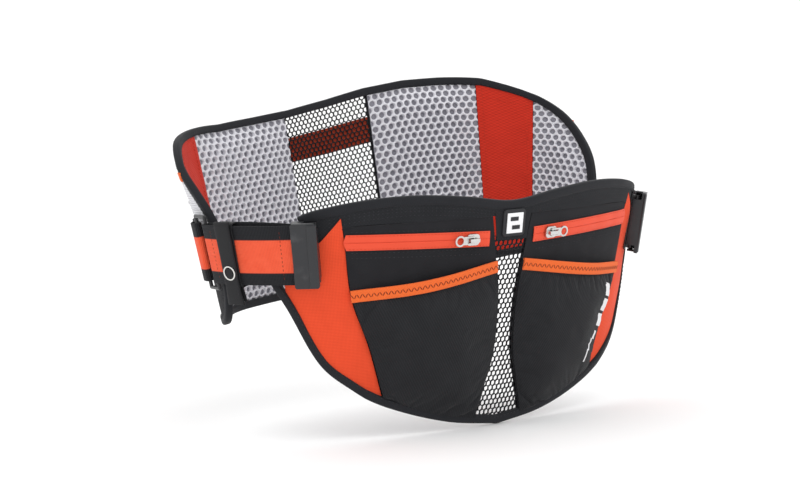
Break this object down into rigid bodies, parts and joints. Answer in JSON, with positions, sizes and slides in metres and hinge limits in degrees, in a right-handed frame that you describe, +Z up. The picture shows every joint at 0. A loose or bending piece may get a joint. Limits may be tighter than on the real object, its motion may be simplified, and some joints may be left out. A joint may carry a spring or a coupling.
{
  "type": "waist pack",
  "caption": "Running waist pack: padded mesh lumbar band and a two-pocket zipped front pack joined by webbing side straps with hooks.",
  "frame": {"origin": "centre of the waist ring at the height of the middle of the side straps", "axes": "+Z up when worn, the front pack faces -Y, the wearer's right is -X as seen from the front"},
  "size_m": [0.3254, 0.2116, 0.2135],
  "materials": {
    "black_mesh": "open hexagonal warp-knit mesh",
    "black_knit": "soft ribbed knit",
    "black_binding": "woven binding tape",
    "black_liner": "plain woven lining",
    "black_stretch": "fine ribbed stretch knit",
    "orange_cloth": "woven ripstop stretch cloth",
    "orange_zip": "zip tape and nylon coil",
    "orange_elastic": "ribbed elastic",
    "dark_red_band": "woven elastic",
    "red_cloth": "gridded woven cloth",
    "grey_spacer": "thick spacer mesh",
    "white_mesh": "stretch mesh",
    "white_tape": "woven tape",
    "webbing": "flat elastic webbing",
    "badge_rubber": "moulded rubber",
    "badge_print": "raised moulded rubber",
    "zip_metal": "polished die casting",
    "snap_metal": "nickel plated",
    "grey_plastic": "satin moulding",
    "black_plastic": "satin moulding"
  },
  "bodies": {
    "belt": {"badge_base": "badge_rubber", "badge_mark": "badge_print", "centre_mesh": "black_mesh", "front_binding": "black_binding", "front_top_band": "black_knit", "left_front_liner": "black_liner", "left_hook_catch": "black_plastic", "left_inner_pad": "grey_spacer", "left_lumbar_shell": "black_liner", "left_outer_pad": "grey_spacer", "left_pocket_hem": "orange_elastic", "left_pull_tab": "white_tape", "left_red_panel": "red_cloth", "left_ring_anchor": "webbing", "left_side_hem": "orange_elastic", "left_side_pocket": "white_mesh", "left_stretch_pocket": "black_stretch", "left_wing": "orange_cloth", "left_yoke": "black_stretch", "left_zip_coil": "orange_zip", "left_zip_tape": "orange_zip", "lumbar_band": "dark_red_band", "lumbar_binding": "black_binding", "right_front_liner": "black_liner", "right_hook_catch": "black_plastic", "right_inner_pad": "grey_spacer", "right_lumbar_shell": "black_liner", "right_outer_pad": "grey_spacer", "right_pocket_hem": "orange_elastic", "right_pull_tab": "white_tape", "right_red_panel": "red_cloth", "right_ring_anchor": "webbing", "right_side_hem": "orange_elastic", "right_side_pocket": "white_mesh", "right_stretch_pocket": "black_stretch", "right_wing": "orange_cloth", "right_yoke": "black_stretch", "right_zip_coil": "orange_zip", "right_zip_tape": "orange_zip", "window_mesh": "black_mesh"},
    "left_ring_link": {"left_ring": "black_plastic"},
    "left_strap_arm": {"left_strap": "webbing", "left_hook": "grey_plastic"},
    "left_keeper_sleeve": {"left_keeper": "black_binding", "left_snap_stud": "snap_metal"},
    "left_flap": {"left_keeper_flap": "black_binding", "left_snap_cap": "snap_metal"},
    "left_slider": {"left_zip_slider": "zip_metal"},
    "left_puller": {"left_zip_puller": "zip_metal"},
    "right_ring_link": {"right_ring": "black_plastic"},
    "right_strap_arm": {"right_strap": "webbing", "right_hook": "grey_plastic"},
    "right_keeper_sleeve": {"right_keeper": "black_binding", "right_snap_stud": "snap_metal"},
    "right_flap": {"right_keeper_flap": "black_binding", "right_snap_cap": "snap_metal"},
    "right_slider": {"right_zip_slider": "zip_metal"},
    "right_puller": {"right_zip_puller": "zip_metal"}
  },
  "joints": [
    {"name": "left_ring_swing", "type": "hinge", "parent": "belt", "child": "left_ring_link", "pos_m": [-0.1524, 0.01794, -0.00101], "axis": [0.1825, -0.0393, -0.9824], "range_deg": [0, 35]},
    {"name": "left_strap_swing", "type": "hinge", "parent": "left_ring_link", "child": "left_strap_arm", "pos_m": [-0.15415, 0.00528, -0.00101], "axis": [0.1863, -0.0116, -0.9824], "range_deg": [0, 70]},
    {"name": "left_keeper_slide", "type": "hinge", "parent": "left_strap_arm", "child": "left_keeper_sleeve", "pos_m": [-0.069, 0, 0], "axis": [0, 0, 1], "range_deg": [-5.5, 8.5]},
    {"name": "left_flap_lift", "type": "hinge", "parent": "left_keeper_sleeve", "child": "left_flap", "pos_m": [-0.16113, -0.01873, 0.01796], "axis": [-0.1992, 0.98, 0], "range_deg": [0, 120]},
    {"name": "left_zip_run", "type": "hinge", "parent": "belt", "child": "left_slider", "pos_m": [0, 0.19237, 0], "axis": [0, 0, -1], "range_deg": [-1.6, 12.4]},
    {"name": "left_puller_flip", "type": "hinge", "parent": "left_slider", "child": "left_puller", "pos_m": [-0.03057, -0.0963, 0.00095], "axis": [-0.0197, -0.1856, 0.9824], "range_deg": [0, 150]},
    {"name": "right_ring_swing", "type": "hinge", "parent": "belt", "child": "right_ring_link", "pos_m": [0.1524, 0.01794, -0.00101], "axis": [0.1825, 0.0393, 0.9824], "range_deg": [0, 35]},
    {"name": "right_strap_swing", "type": "hinge", "parent": "right_ring_link", "child": "right_strap_arm", "pos_m": [0.15415, 0.00528, -0.00101], "axis": [0.1863, 0.0116, 0.9824], "range_deg": [0, 70]},
    {"name": "right_keeper_slide", "type": "hinge", "parent": "right_strap_arm", "child": "right_keeper_sleeve", "pos_m": [0.069, 0, 0], "axis": [0, 0, -1], "range_deg": [-5.5, 8.5]},
    {"name": "right_flap_lift", "type": "hinge", "parent": "right_keeper_sleeve", "child": "right_flap", "pos_m": [0.16113, -0.01873, 0.01796], "axis": [-0.1992, -0.98, 0], "range_deg": [0, 120]},
    {"name": "right_zip_run", "type": "hinge", "parent": "belt", "child": "right_slider", "pos_m": [0, 0.19237, 0], "axis": [0, 0, 1], "range_deg": [-1.6, 12.4]},
    {"name": "right_puller_flip", "type": "hinge", "parent": "right_slider", "child": "right_puller", "pos_m": [0.03057, -0.0963, 0.00095], "axis": [-0.0197, 0.1856, -0.9824], "range_deg": [0, 150]}
  ]
}
